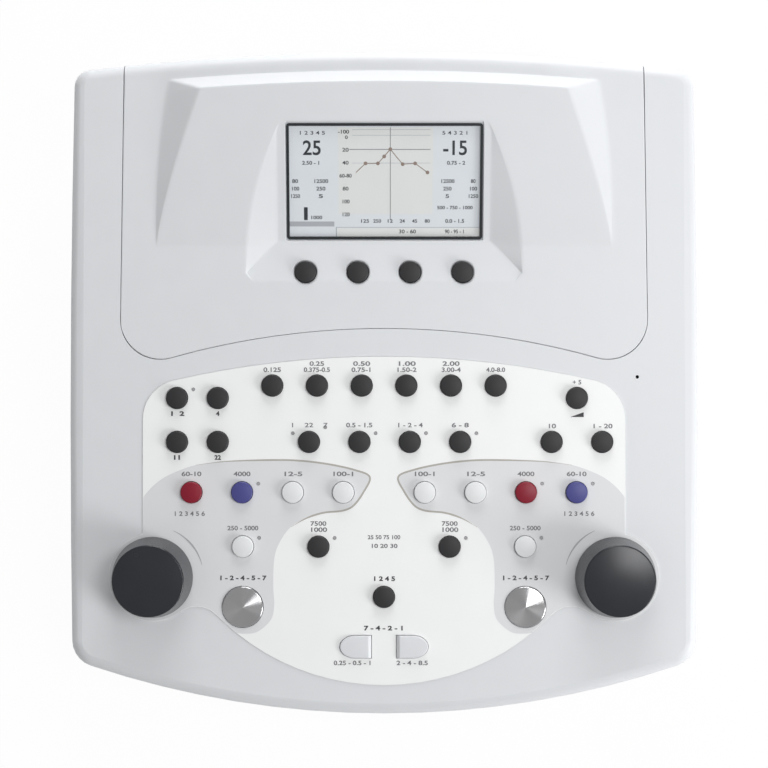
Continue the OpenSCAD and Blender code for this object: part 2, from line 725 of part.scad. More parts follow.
// Data port, supply inlet and the frame of the power switch
module data_ports() color(metal) translate([0, bay_y, socket_z]) {
    translate([usb_x, 0, 0]) {
        difference() {
            union() {
                translate([-6, -14, -8]) cube([12, 14, 13.4]);
                translate([-6, -1, -5.4]) cube([12, 1 + panel_t + 0.6, 10.8]);
            }
            translate([-4.25, -10, -3.9]) cube([8.5, 20, 7.8]);
        }
        translate([-2.8, -11, -1.6]) cube([5.6, 10, 3.2]);
    }
    translate([supply_x, 0, 0]) rotate([-90, 0, 0]) {
        difference() {
            union() {
                translate([-4.5, -5.5, -12]) cube([9, 13.5, 12]);
                cylinder(r = 4.5, h = panel_t + 0.4);
            }
            translate([0, 0, -9]) cylinder(r = 2.85, h = 20);
        }
        translate([0, 0, -10]) cylinder(r = 1, h = 9, $fn = 24);
    }
    translate([rocker_x, 0, 0]) difference() {
        union() {
            translate([-10.5, -12, -7.5]) cube([21, 12 + panel_t, 15]);
            translate([-12, panel_t, -8.8]) cube([24, 1, 17.6]);
        }
        translate([-9.3, -9, -6.2]) cube([18.6, 20, 12.4]);
        translate([0, -2.5, -7]) cylinder(r = 1.4, h = 14, $fn = 24);
    }
}

// Rocker: two faces that meet in a shallow V, on a pivot across the switch, shown switched off
module power_rocker() color(dark) translate([rocker_x, bay_y - 2.5, socket_z]) rotate([0, 0, -rocker_swing]) {
    translate([0, 0, -5.8]) linear_extrude(11.6)
        polygon([[-8.4, 6.6], [0, 5.2], [8.4, 6.6], [8.4, 4], [3, -3.5], [-3, -3.5], [-8.4, 4]]);
    translate([0, 0, -6.8]) cylinder(r = 1, h = 13.6, $fn = 24);
}

// ---- assembly ----

bottom_case();
top_case();
display_cover();
control_overlay();
display_window();
lcd_module();
keypad_boards();
key_switches();
indicator_lights();
encoders();
encoder_shaft(-1);  // left_shaft
encoder_shaft(1);  // right_shaft
main_board();
rear_panel();
phone_jacks();
data_ports();
monitor_speaker();
feet();
case_screws();
for (k = soft_keys) push_key(k, soft_drop);
for (k = panel_keys) push_key(k);
for (s = sides) interrupter(s[1]);
for (s = sides) frequency_key(s[1]);
for (s = sides) knob(s[1]);
power_rocker();
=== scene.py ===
import json
import math

import bmesh
import bpy
import numpy as np
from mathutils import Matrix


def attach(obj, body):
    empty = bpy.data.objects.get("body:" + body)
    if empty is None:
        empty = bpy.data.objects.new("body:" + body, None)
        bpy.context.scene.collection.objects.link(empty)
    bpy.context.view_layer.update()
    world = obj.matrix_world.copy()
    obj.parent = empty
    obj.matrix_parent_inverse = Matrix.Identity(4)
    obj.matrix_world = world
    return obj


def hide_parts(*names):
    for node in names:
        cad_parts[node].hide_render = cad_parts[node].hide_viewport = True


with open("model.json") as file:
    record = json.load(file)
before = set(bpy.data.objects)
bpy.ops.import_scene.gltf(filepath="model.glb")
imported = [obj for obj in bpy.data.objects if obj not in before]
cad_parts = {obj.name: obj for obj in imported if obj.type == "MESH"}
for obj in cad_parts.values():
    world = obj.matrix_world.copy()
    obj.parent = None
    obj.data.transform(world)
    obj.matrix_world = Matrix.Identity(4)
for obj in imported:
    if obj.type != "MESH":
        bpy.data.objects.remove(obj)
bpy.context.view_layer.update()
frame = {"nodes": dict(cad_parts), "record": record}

# The pieces are worked out in millimetres on the deck: u to the right, v to the rear, w up along the deck's own
# normal. onDeck turns that into the frame's metres.
mm = 0.001
deck = {"tilt": math.radians(8), "middle": (0, -2.5, 60)}
camera = {
    "height": 942,    # millimetres above the deck, along its normal
    "field": 23.31,   # degrees, square picture
}
room = {
    "floor": (0.93, 0.93, 0.93),
    "reach": 4,   # metres from the middle to the floor's edge
    "floorGlow": 0.96,
    "skyStrength": 0.39,
    "lights": {   # place in metres, size in metres, power in watts
        "rear light": {"place": (0.1, 1.1, 0.5), "size": 0.7, "power": 9.6},
        "side light": {"place": (1.3, -0.72, 0.6), "size": 0.65, "power": 13.0},
        "top light": {"place": (0.38, -0.08, 1.0), "size": 0.3, "power": 2.3},
    },
}


# Turns deck places into the frame: a turn by the tilt about X, then a shift.
def onDeck(u, v, w):
    u, v, w = np.broadcast_arrays(*(np.asarray(a, float) for a in (u, v, w)))
    c, s = math.cos(deck["tilt"]), math.sin(deck["tilt"])
    x, y, z = deck["middle"]
    return np.stack([x + u, y + v * c - w * s, z + v * s + w * c], -1) * mm


def makeCamera():
    data = bpy.data.cameras.new("camera")
    data.sensor_fit = "HORIZONTAL"
    data.angle = math.radians(camera["field"])
    data.clip_start = 0.01
    data.clip_end = 20
    shot = bpy.data.objects.new("camera", data)
    shot.location = onDeck(0, 0, camera["height"])
    shot.rotation_euler = (deck["tilt"], 0, 0)
    bpy.context.scene.collection.objects.link(shot)
    bpy.context.scene.camera = shot
    print("camera set")


makeCamera()


# A mesh object from a grid of points, n rows by m columns, one quad a cell; the columns can close into a ring, and
# keep says which cells stay.
def gridPiece(name, points, closeColumns=False, flip=False, uv=None, keep=None):
    n, m = points.shape[:2]
    columns = np.arange(m if closeColumns else m - 1)
    i, j = (a.ravel() for a in np.meshgrid(np.arange(n - 1), columns, indexing="ij"))
    j2 = (j + 1) % m
    quads = np.stack([i * m + j, (i + 1) * m + j, (i + 1) * m + j2, i * m + j2], -1)
    if flip:
        quads = quads[:, ::-1]
    if keep is not None:
        quads = quads[keep.ravel()]
    mesh = bpy.data.meshes.new(name)
    mesh.from_pydata(points.reshape(-1, 3).tolist(), [], quads.tolist())
    if uv is not None:
        corners = np.zeros(len(mesh.loops), np.int32)
        mesh.loops.foreach_get("vertex_index", corners)
        cornerUvs = uv.reshape(-1, 2)[corners].ravel().astype(np.float32)
        mesh.uv_layers.new(name="turn").data.foreach_set("uv", cornerUvs)
    mesh.shade_smooth()
    piece = bpy.data.objects.new(name, mesh)
    bpy.context.scene.collection.objects.link(piece)
    return piece


mergeReach = 1e-6   # metres


# Merges doubles, so that poles and seams close, and points all faces outwards.
def closeUp(piece):
    work = bmesh.new()
    work.from_mesh(piece.data)
    bmesh.ops.remove_doubles(work, verts=work.verts, dist=mergeReach)
    bmesh.ops.dissolve_degenerate(work, edges=work.edges, dist=mergeReach)
    bmesh.ops.recalc_face_normals(work, faces=work.faces)
    work.to_mesh(piece.data)
    work.free()
    return piece


# Leaves out the points that no face uses.
def dropLoose(piece):
    work = bmesh.new()
    work.from_mesh(piece.data)
    bmesh.ops.delete(work, geom=[p for p in work.verts if not p.link_faces], context="VERTS")
    work.to_mesh(piece.data)
    work.free()
    return piece


# Edges sharper than the angle, in degrees, stay crisp, and flat faces keep their own shade.
def crispEdges(piece, angle=35):
    piece.data.shade_smooth()
    piece.data.set_sharp_from_angle(angle=math.radians(angle))
    weighted = piece.modifiers.new("flat faces first", "WEIGHTED_NORMAL")
    weighted.keep_sharp = True
    weighted.weight = 80
    return piece


copies = {"flat": 0.3, "crisp": 20}   # degrees


# A merged copy of a CAD node stands for it, so that its rounded edges shade smoothly and its flat faces stay flat.
def smoothCopy(node, name, body, slot):
    piece = bpy.data.objects.new(name, frame["nodes"][node].data.copy())
    piece.data.materials.clear()
    bpy.context.scene.collection.objects.link(piece)
    work = bmesh.new()
    work.from_mesh(piece.data)
    bmesh.ops.remove_doubles(work, verts=work.verts, dist=mergeReach)
    bmesh.ops.dissolve_limit(work, verts=work.verts, edges=work.edges, angle_limit=math.radians(copies["flat"]))
    work.to_mesh(piece.data)
    work.free()
    crispEdges(piece, copies["crisp"])
    return settle(piece, body, slot, node)


# Ties a piece to its body and hides the CAD nodes that it takes the place of; the slot is not used.
def settle(piece, body, slot, *nodes):
    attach(piece, body)
    if nodes:
        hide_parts(*nodes)
    return piece


def paint(piece, material):
    piece.data.materials.clear()
    piece.data.materials.append(material)
    return piece


# A finish on Object coordinates: its colour drifts by the part called shift, its roughness wanders by 12 per cent,
# and a fine grain of the given size and depth bumps it.
def finish(name, colour, roughness, metal=0.0, grainSize=0.35 * mm, grainDepth=0.02 * mm, shift=0.03, glow=0.0):
    patch, wander = 14 * mm, 0.12
    material = bpy.data.materials.new(name)
    material.use_nodes = True
    nodes, links = material.node_tree.nodes, material.node_tree.links
    shader = nodes["Principled BSDF"]
    shader.inputs["Metallic"].default_value = metal
    shader.inputs["Emission Strength"].default_value = glow
    place = nodes.new("ShaderNodeTexCoord").outputs["Object"]

    clouds = nodes.new("ShaderNodeTexNoise")
    clouds.inputs["Scale"].default_value = 1 / patch
    clouds.inputs["Detail"].default_value = 4
    links.new(place, clouds.inputs["Vector"])
    tone = nodes.new("ShaderNodeMapRange")
    tone.inputs["From Min"].default_value = 0.3
    tone.inputs["From Max"].default_value = 0.7
    links.new(clouds.outputs["Fac"], tone.inputs["Value"])
    mix = nodes.new("ShaderNodeMix")
    mix.data_type = "RGBA"
    mix.inputs["A"].default_value = (*[c * (1 - shift) for c in colour], 1)
    mix.inputs["B"].default_value = (*[min(1, c * (1 + shift)) for c in colour], 1)
    links.new(tone.outputs["Result"], mix.inputs["Factor"])
    links.new(mix.outputs["Result"], shader.inputs["Base Color"])
    links.new(mix.outputs["Result"], shader.inputs["Emission Color"])

    worn = nodes.new("ShaderNodeMapRange")
    worn.inputs["To Min"].default_value = roughness * (1 - wander)
    worn.inputs["To Max"].default_value = roughness * (1 + wander)
    links.new(clouds.outputs["Fac"], worn.inputs["Value"])
    links.new(worn.outputs["Result"], shader.inputs["Roughness"])

    grain = nodes.new("ShaderNodeTexNoise")
    grain.inputs["Scale"].default_value = 1 / grainSize
    grain.inputs["Detail"].default_value = 3
    links.new(place, grain.inputs["Vector"])
    bump = nodes.new("ShaderNodeBump")
    bump.inputs["Distance"].default_value = grainDepth
    bump.inputs["Strength"].default_value = 0.6
    links.new(grain.outputs["Fac"], bump.inputs["Height"])
    links.new(bump.outputs["Normal"], shader.inputs["Normal"])
    return material


# A colour as it is read off a screen, 0 to 255, to the linear value that a shader takes.
def screenColour(*parts):
    c = np.array(parts, float) / 255
    return tuple(np.where(c <= 0.04045, c / 12.92, ((c + 0.055) / 1.055) ** 2.4))


# Turned metal: its fine grooves run round the axis, along the UV's first direction, and so spread each reflection
# into a fan from the middle outwards.
def spunMetal():
    material = finish("spun metal", (0.62, 0.62, 0.63), 0.22, metal=1.0, grainSize=0.6 * mm,
                      grainDepth=0.001 * mm, shift=0.02)
    nodes, links = material.node_tree.nodes, material.node_tree.links
    shader = nodes["Principled BSDF"]
    shader.inputs["Anisotropic"].default_value = 0.85
    shader.inputs["Anisotropic Rotation"].default_value = 0.25
    tangent = nodes.new("ShaderNodeTangent")
    tangent.direction_type = "UV_MAP"
    tangent.uv_map = "turn"
    links.new(tangent.outputs["Tangent"], shader.inputs["Tangent"])
    return material


# A thin clear pane: mostly see-through, with a glossy face.
def clearGlass():
    material = bpy.data.materials.new("clear pane")
    material.use_nodes = True
    shader = material.node_tree.nodes["Principled BSDF"]
    shader.inputs["Base Color"].default_value = (0.02, 0.02, 0.022, 1)
    shader.inputs["Roughness"].default_value = 0.05
    shader.inputs["Alpha"].default_value = 0.06
    return material


# The overlay's film, white or printed grey.
def filmFinish(name, *colour):
    return finish(name, screenColour(*colour), 0.42, grainSize=0.25 * mm, grainDepth=0.008 * mm, shift=0.006)


# A tint of the display's picture, lit from behind by its glow.
def screenFinish(name, *colour, glow=0.0):
    return finish(name, screenColour(*colour), 0.3, grainDepth=0.002 * mm, shift=0.01, glow=glow)


finishes = {
    "case": finish("moulded case", screenColour(222, 224, 227), 0.46, grainSize=0.5 * mm, shift=0.008),
    "overlay": filmFinish("panel overlay", 246, 247, 247),
    "zone": filmFinish("grey panel zone", 223, 224, 226),
    "zoneLine": finish("zone outline", screenColour(176, 172, 165), 0.45, shift=0.01),
    "arrow": finish("turn arrows", screenColour(172, 173, 177), 0.45, shift=0.01),
    "ink": finish("printed marks", screenColour(118, 118, 122), 0.5, shift=0.02),
    "inkDark": finish("dark printed marks", screenColour(62, 62, 66), 0.5, shift=0.02),
    "keyDark": finish("dark keys", screenColour(37, 37, 39), 0.5, grainSize=0.2 * mm, shift=0.04),
    "keyLight": finish("white keys", screenColour(229, 231, 232), 0.4, grainSize=0.2 * mm, shift=0.01),
    "keyRed": finish("red keys", screenColour(134, 2, 36), 0.4, grainSize=0.2 * mm, shift=0.03),
    "keyBlue": finish("blue keys", screenColour(70, 71, 136), 0.4, grainSize=0.2 * mm, shift=0.03),
    "knob": finish("soft knobs", screenColour(38, 40, 45), 0.26, grainSize=0.2 * mm, grainDepth=0.006 * mm,
                   shift=0.05),
    "spunMetal": spunMetal(),
    "board": finish("solder mask", (0.015, 0.09, 0.04), 0.35, shift=0.1),
    "dark": finish("dark mouldings", (0.02, 0.02, 0.022), 0.5, shift=0.08),
    "light": finish("smoked lights", (0.38, 0.38, 0.39), 0.25, shift=0.05),
    "steel": finish("plated steel", (0.55, 0.56, 0.58), 0.3, metal=1.0, grainDepth=0.004 * mm, shift=0.05),
    "rearPanel": finish("powder-coated panel", (0.045, 0.048, 0.055), 0.5, grainSize=0.6 * mm,
                        grainDepth=0.05 * mm, shift=0.08),
    "sockets": finish("plated sockets", (0.5, 0.51, 0.53), 0.28, metal=1.0, grainDepth=0.004 * mm, shift=0.06),
    "rubber": finish("rubber feet", (0.018, 0.018, 0.018), 0.75, grainSize=0.4 * mm, grainDepth=0.04 * mm,
                     shift=0.1),
    "rocker": finish("rocker", (0.012, 0.012, 0.012), 0.3, shift=0.05),
    "window": finish("window border", screenColour(40, 43, 46), 0.2, grainDepth=0.002 * mm, shift=0.02),
    "display": screenFinish("display", 211, 216, 221, glow=0.34),
    "screenPale": screenFinish("pale screen field", 216, 218, 217, glow=0.32),
    "screenGrey": screenFinish("grey screen field", 176, 180, 186, glow=0.2),
    "screenInk": screenFinish("screen digits", 58, 62, 68),
    "screenLine": screenFinish("screen lines", 146, 148, 150, glow=0.15),
    "screenCurve": screenFinish("screen curve", 150, 134, 124, glow=0.15),
    "glass": clearGlass(),
    "stepKey": finish("grey step keys", screenColour(222, 224, 227), 0.42, grainSize=0.2 * mm, shift=0.01),
}

slotFinish = {
    "case": "case", "overlay": "overlay", "window": "window", "display": "display", "board": "board",
    "dark_parts": "dark", "lights": "light", "steel": "steel", "rear_panel": "rearPanel", "sockets": "sockets",
    "rubber": "rubber", "knob": "knob", "rocker": "rocker", "chrome": "spunMetal", "key_dark": "keyDark",
    "key_light": "keyLight", "key_red": "keyRed", "key_blue": "keyBlue",
}
slotOf = {part["node"]: part["material_slot"] for part in frame["record"]["subparts"]}


# Every node first gets the finish of its slot; the two shells then get smooth copies, and the pieces below take
# the place of more nodes.
def dressFrame():
    for node, piece in frame["nodes"].items():
        paint(piece, finishes[slotFinish[slotOf[node]]])
    for node, name in (("top_case", "topShell"), ("bottom_case", "bottomShell")):
        paint(smoothCopy(node, name, "case", "case"), finishes["case"])
    print("frame dressed")


dressFrame()

hood = {   # the display's cover, millimetres on the deck
    "half": 133.3, "leanIn": 2.0, "corner": 20.25, "frontArc": 396.75, "frontV": 28.2,
    "rearV": 168.7, "rearArc": 1270.0, "edge": 6.0, "lip": 6.7, "skirt": 2.4, "roll": (0.4, 0.12), "thick": 2.2,
    "humpStart": 70.0, "humpEnd": 152.0, "humpFoot": 158.7, "humpHeight": 9.0,
    "footHalf": 115.6, "footBend": 6.3, "footReach": 80.0, "edgeHalf": 115.1, "edgeTaper": 0.054, "drawIn": 19.5,
    "recessRear": 132.5, "recessFront": 72.8, "recessTilt": 10.8, "floorHalf": 54.0,
    "rimHalf": 70.0, "rimDrawIn": 17.6, "rimTip": 55.0, "shelfTip": (69.5, 56.4), "shelfFront": (66.0, 52.0),
    "soften": 0.5, "cell": 0.85,
}
hoodGrid = {   # where the lines of its grid change their course, millimetres on the deck
    "straightV": 34.5, "bendV": 144.0, "fanV": 42.0, "fanReach": 9.0, "fanFloor": 66.0, "fanRim": 67.5,
    "edgeAt": 92.0, "footAt": 108.0, "shiftV": 66.0, "shiftReach": 5.0, "shiftU": 54.0, "shiftFade": 4.0,
}
window = {
    "centre": (0.3, 102.3), "size": (99.2, 58.6), "gap": 0.2, "corner": 1.5, "proud": 0.2, "thick": 1.8,
    "active": (96.4, 55.8), "paneThick": 1.7,
}
softKeys = {"u": [-39.75, -13.25, 13.25, 39.75], "v": 56.7, "hole": 5.7, "drop": 2.0, "reach": 9.6}


# The hump's top is a straight wedge that climbs to the rear.
def humpTop(v):
    return hood["humpHeight"] * (v - hood["humpStart"]) / (hood["humpEnd"] - hood["humpStart"])


# The recess's floor starts at the wedge's height at its rear and dips to the front by its own tilt.
def recessFloor(v):
    return humpTop(hood["recessRear"]) - (hood["recessRear"] - v) * math.tan(math.radians(hood["recessTilt"]))


# How far the rear arc falls back towards the front at u: the arc's sagitta.
def rearDrop(u):
    return hood["rearArc"] - np.sqrt(hood["rearArc"] ** 2 - u ** 2)


# Half-widths of the hump's foot and top edge, of the recess's rim and of its floor, at v. The foot bends in with
# the 2.5th power of the way back, the top edge draws in with the 1.35th, and the rim with the 2.2nd. Small gaps keep
# the lines from crossing.
def hoodLines(v):
    past = np.maximum(v - hood["humpStart"], 0)
    climb = past / (hood["humpEnd"] - hood["humpStart"])
    foot = hood["footHalf"] - hood["footBend"] * (past / hood["footReach"]) ** 2.5
    edge = hood["edgeHalf"] - (v - hood["humpStart"]) * hood["edgeTaper"] - hood["drawIn"] * climb ** 1.35
    edge = np.minimum(edge, foot - 0.5)
    back = np.maximum(v - hood["rimTip"], 0) / (hood["recessRear"] - hood["rimTip"])
    rim = hood["rimHalf"] - hood["rimDrawIn"] * back ** 2.2
    (tipU, tipV), (frontU, frontV) = hood["shelfTip"], hood["shelfFront"]
    floor = np.interp(v, [frontV, tipV, hood["recessFront"]], [frontU, tipU, hood["floorHalf"]])
    floor = np.where(v > hood["recessFront"], np.minimum(hood["floorHalf"], rim - 0.8), floor)
    rim = np.where(v < tipV, floor + 0.5, rim)
    return foot, edge, rim, floor


# Height of the hood over the deck: a wedge that rises to the rear between drawn-in sides, cut by a recess whose
# floor dips to the front, and in front of that a shelf, a plane that climbs back to the deck.
def hoodHeight(u, v):
    a = np.abs(u)
    foot, edge, rim, floorHalf = hoodLines(v)
    side = np.clip((foot - a) / (foot - edge), 0, 1)
    rear = np.clip((hood["humpFoot"] - rearDrop(u) - v) / (hood["humpFoot"] - hood["humpEnd"]), 0, 1)
    rise = np.maximum(humpTop(np.minimum(v, hood["humpEnd"] - rearDrop(u))), 0)
    top = rise * np.minimum(side, rear)

    front, low = hood["recessFront"], recessFloor(hood["recessFront"])
    shelf = low * np.clip((v - hood["shelfFront"][1]) / (front - hood["shelfFront"][1]), 0, 1)
    floor = np.where(v >= front, recessFloor(v), shelf)
    slope = np.maximum(np.maximum(humpTop(v), 0) - floor, 0) / (rim - floorHalf)
    wall = floor + np.maximum(a - floorHalf, 0) * slope
    return np.minimum(top, wall)


# The same height averaged over a small square with bell-shaped weights, which rounds every edge and corner.
def softHeight(u, v):
    total, weights = 0, 0
    for du in (-1, -0.5, 0, 0.5, 1):
        for dv in (-1, -0.5, 0, 0.5, 1):
            weight = math.exp(-1.5 * (du * du + dv * dv))
            total = total + weight * hoodHeight(u + du * hood["soften"], v + dv * hood["soften"])
            weights += weight
    return total / weights


# Steps from stop to stop, each stretch cut evenly into cells of about the given size.
def stretch(stops, cell=hood["cell"]):
    parts = [np.linspace(a, b, max(1, round(abs(b - a) / cell)), endpoint=False)
             for a, b in zip(stops, stops[1:])]
    return np.concatenate(parts + [[stops[-1]]])


# Pulls the square rings of grid cells round a hole's middle into circles; this fades out to the plain grid at reach.
# Gives the moved grid and the half-width of each point's square.
def openRound(u, v, centre, radius, reach):
    x, y = (u - centre[0]) / reach, (v - centre[1]) / reach
    square = np.maximum(np.abs(x), np.abs(y))
    start = radius / reach
    fade = np.clip((1 - square) / (1 - start), 0, 1)
    length = np.maximum(np.hypot(x, y), 1e-9)
    scale = 1 + fade * (square / length - 1)
    inside = square < 1
    movedU = np.where(inside, centre[0] + x * scale * reach, u)
    movedV = np.where(inside, centre[1] + y * scale * reach, v)
    return movedU, movedV, square * reach


# Columns of the hood's grid at each v: straight beside the display, then along the recess's floor and rim and the
# hump's top edge and foot, so that every crease lies on a line of the grid. In front of the shelf the columns fan
# out to fit the round corners. Small gaps keep them in order.
def hoodColumns(v, inner):
    g = hoodGrid
    bow = np.clip((v - g["bendV"]) / (hood["humpEnd"] - g["bendV"]), 0, 1)
    _, _, rim, floorHalf = hoodLines(v)
    foot = hoodLines(v - rearDrop(g["footAt"]) * bow)[0]
    edge = np.minimum(hoodLines(v - rearDrop(g["edgeAt"]) * bow)[1], foot - 1.5)
    floorHalf = np.maximum(floorHalf, inner[-1] + 1.5)
    rim = np.maximum(rim, floorHalf + 0.7)
    cornerU = hood["half"] - hood["corner"]
    outer = hood["half"] - hood["leanIn"] * np.clip((v - g["straightV"]) / (hood["rearV"] - g["straightV"]), 0, 1)
    blend = np.clip((v - g["fanV"]) / g["fanReach"], 0, 1)
    blend = blend * blend * (3 - 2 * blend)
    fan = [g["fanFloor"], g["fanRim"], cornerU - 1.5, cornerU]
    knots = [start + (line - start) * blend for start, line in zip(fan, (floorHalf, rim, edge, foot))]
    knots = [inner[-1] + 0 * v, *knots, outer - hood["roll"][0]]
    counts = [7, 12, 36, 12, 22]   # columns from knot to knot
    columns = [np.broadcast_to(inner, (len(v), len(inner)))]
    for i, count in enumerate(counts):
        t = np.linspace(0, 1, count + 1)[1:]
        if i == len(counts) - 1:   # closer together towards the rounded corner
            t = t + (np.sin(t * math.pi / 2) - t) * (1 - 0.5 * blend[:, None])
        columns.append(knots[i][:, None] + (knots[i + 1] - knots[i])[:, None] * t)
    outer = outer[:, None]
    return np.concatenate([*columns, outer - hood["roll"][1], outer, outer], 1)


# True for each cell of a grid that has a marked point at one of its corners.
def touches(mask):
    return mask[:-1, :-1] | mask[1:, :-1] | mask[:-1, 1:] | mask[1:, 1:]


# The cover is one grid. Its front rows follow the front arc and the round corners, its rear rows the rear arc, and
# its border rolls over and drops into the seam. The window and the soft keys' holes are left open.
def makeHood():
    g = hoodGrid
    cornerU = hood["half"] - hood["corner"]
    arcV = hood["frontV"] - hood["frontArc"]
    cornerV = arcV + math.sqrt((hood["frontArc"] + hood["corner"]) ** 2 - cornerU ** 2)
    winU = window["size"][0] / 2 + window["gap"]
    winV = (window["size"][1] / 2 + window["gap"]) * math.cos(math.radians(hood["recessTilt"]))
    winMiddle = window["centre"]
    hole, (first, second) = softKeys["hole"], softKeys["u"][2:]
    inner = stretch([0, first - hole, first + hole, second - hole, second + hole, winU])

    winFront, winRear = winMiddle[1] - winV, winMiddle[1] + winV
    straight = np.concatenate([
        stretch([g["straightV"], softKeys["v"] - hole, softKeys["v"] + hole, hood["humpStart"],
                 hood["recessFront"], winFront]),
        stretch([winFront, winRear], 1.2)[1:],
        stretch([winRear, hood["recessRear"], g["bendV"]])[1:]])
    frontRows = np.concatenate([[0, 0, 0.006, 0.02], np.linspace(0.04, 1, 26)[:-1]])   # shares of the way
    borderDrop = [hood["skirt"], *hood["roll"]]
    frontDrop = np.zeros(len(frontRows))
    frontDrop[:3] = borderDrop
    bend = np.linspace(0, math.pi / 2, 9)[1:]

    # Rows first at the height of their v on the middle line; the front and rear ones then follow their arcs.
    nominal = np.concatenate([hood["frontV"] + (g["straightV"] - hood["frontV"]) * frontRows, straight])
    stages = [(hood["humpEnd"], 9), (hood["humpFoot"], 12), (hood["rearV"] - hood["edge"], 5)]
    for end, count in stages:
        nominal = np.concatenate([nominal, np.linspace(nominal[-1], end, count + 1)[1:]])
    nominal = np.concatenate([nominal, hood["rearV"] - hood["edge"] * (1 - np.sin(bend)), [hood["rearV"]]])
    half = hoodColumns(nominal, inner)
    u = np.concatenate([-half[:, :0:-1], half], 1)

    a = np.minimum(np.abs(u), hood["half"])
    frontEdge = np.where(a > cornerU * hood["frontArc"] / (hood["frontArc"] + hood["corner"]),
                         cornerV - np.sqrt(np.maximum(hood["corner"] ** 2 - (a - cornerU) ** 2, 0)),
                         arcV + np.sqrt(hood["frontArc"] ** 2 - a ** 2))
    n = len(frontRows)
    v = np.repeat(nominal[:, None], u.shape[1], 1)
    v[:n] = frontEdge[:n] + (g["straightV"] - frontEdge[:n]) * frontRows[:, None]
    v -= rearDrop(u) * np.clip((v - g["bendV"]) / (hood["humpEnd"] - g["bendV"]), 0, 1)
    rearRound = hood["edge"] * (1 - np.cos(bend))
    drop = np.concatenate([frontDrop, np.zeros(len(v) - n - len(bend) - 1), rearRound, [hood["lip"]]])
    columnDrop = np.zeros(u.shape[1])
    columnDrop[[0, 1, 2]] = columnDrop[[-1, -2, -3]] = borderDrop

    # The window sits a little to the right of the middle. The masks stop just short of each opening's own edge.
    shift = np.clip((v - g["shiftV"]) / g["shiftReach"], 0, 1)
    u = u + winMiddle[0] * shift * np.clip((g["shiftU"] - np.abs(u)) / g["shiftFade"], 0, 1)
    holes = []
    for middle in softKeys["u"]:
        u, v, square = openRound(u, v, (middle, softKeys["v"]), hole, softKeys["reach"])
        holes.append(square < hole - 0.05)
    inWindow = (np.abs(u - winMiddle[0]) < winU - 0.3) & (np.abs(v - winMiddle[1]) < winV - 0.2)
    w = softHeight(u, v) - np.maximum(drop[:, None], columnDrop[None, :])
    keep = ~touches(inWindow)
    for opening in holes:
        keep &= ~touches(opening)
    piece = dropLoose(gridPiece("displayHood", onDeck(u, v, w), flip=True, keep=keep))
    wall = piece.modifiers.new("wall", "SOLIDIFY")
    wall.thickness = hood["thick"] * mm
    wall.offset = -1
    crispEdges(piece)
    print("display hood made")
    return settle(paint(piece, finishes["case"]), "case", "case", "display_cover")


makeHood()


# Points along an arc in a profile, from angle start to end in degrees, anticlockwise from straight out.
def arc(centre, radius, start, end, count=8):
    t = np.radians(np.linspace(start, end, count))
    return [(centre[0] + radius * math.cos(a), centre[1] + radius * math.sin(a)) for a in t]


# A profile over a flat dome, from radius start to the axis: a cap of the given height and radius, cut from a sphere
# of radius (radius squared + height squared) / (2 * height), with its top at top.
def dome(radius, height, top, start, count):
    sphere = (radius ** 2 + height ** 2) / (2 * height)
    return [(r, top - (sphere - math.sqrt(sphere ** 2 - r * r))) for r in np.linspace(start, 0, count)]


sides = (("left", -1), ("right", 1))


# A profile of (radius, height) points turned round the deck normal at a place; its ends lie on the axis.
def turned(name, profile, at, drop=0.0, steps=64):
    r, w = np.array(profile, float).T
    angle = np.linspace(0, 2 * math.pi, steps, endpoint=False)
    u = at[0] + r[:, None] * np.cos(angle)
    v = at[1] + r[:, None] * np.sin(angle)
    uv = np.stack(np.broadcast_arrays(angle[None, :] / (2 * math.pi), np.linspace(0, 1, len(r))[:, None]), -1)
    piece = closeUp(gridPiece(name, onDeck(u, v, (w - drop)[:, None]), closeColumns=True, uv=uv))
    return crispEdges(piece)


keys = {   # millimetres; heights are above the deck
    "radius": 5.4, "top": 3.2, "crown": 0.5, "edge": 0.6, "flange": 6.9, "flangeTop": -3.4, "flangeFoot": -4.6,
    "stem": 2.0, "stemFoot": -7.6,
}
keyRows = {   # millimetres on the deck
    "upperV": -7.1, "lowerV": -29.3,
    "top": {"pitch": 22.6, "v": -0.8},
    "mode": {"middle": 0.3, "pitch": 25.5},
    "preset": {"middle": -94.4, "pitch": 20.6},
    "channel": {"first": 20.6, "pitch": 25.6, "v": -54.8, "fifth": (71.4, -82.2), "talk": (33.2, -82.3)},
    "level": {"upper": 97.6, "lower": (84.8, 110.4)},
    "store": (0, -107.7),
}


# The middle of each round key, by its node.
def keyPlaces():
    k = keyRows
    spots = {
        "soft": [(u, softKeys["v"]) for u in softKeys["u"]],
        "top": [((i - 2.5) * k["top"]["pitch"], k["top"]["v"]) for i in range(6)],
        "mode": [(k["mode"]["middle"] + (i - 1.5) * k["mode"]["pitch"], k["lowerV"]) for i in range(4)],
        "preset": [(k["preset"]["middle"] + half * k["preset"]["pitch"], v)
                   for v in (k["upperV"], k["lowerV"]) for half in (-0.5, 0.5)],
        "level": [(k["level"]["upper"], k["upperV"])] + [(u, k["lowerV"]) for u in k["level"]["lower"]],
    }
    found = {"store_key": k["store"]}
    c = k["channel"]
    for side, s in sides:
        row = [(s * (c["first"] + c["pitch"] * i), c["v"]) for i in range(4)]
        spots[f"{side}_channel"] = [*row, (s * c["fifth"][0], c["fifth"][1])]
        found[f"talk_key_{side}"] = (s * c["talk"][0], c["talk"][1])
    for row, middles in spots.items():
        found.update({f"{row}_key_{i + 1}": middle for i, middle in enumerate(middles)})
    return found


places = keyPlaces()


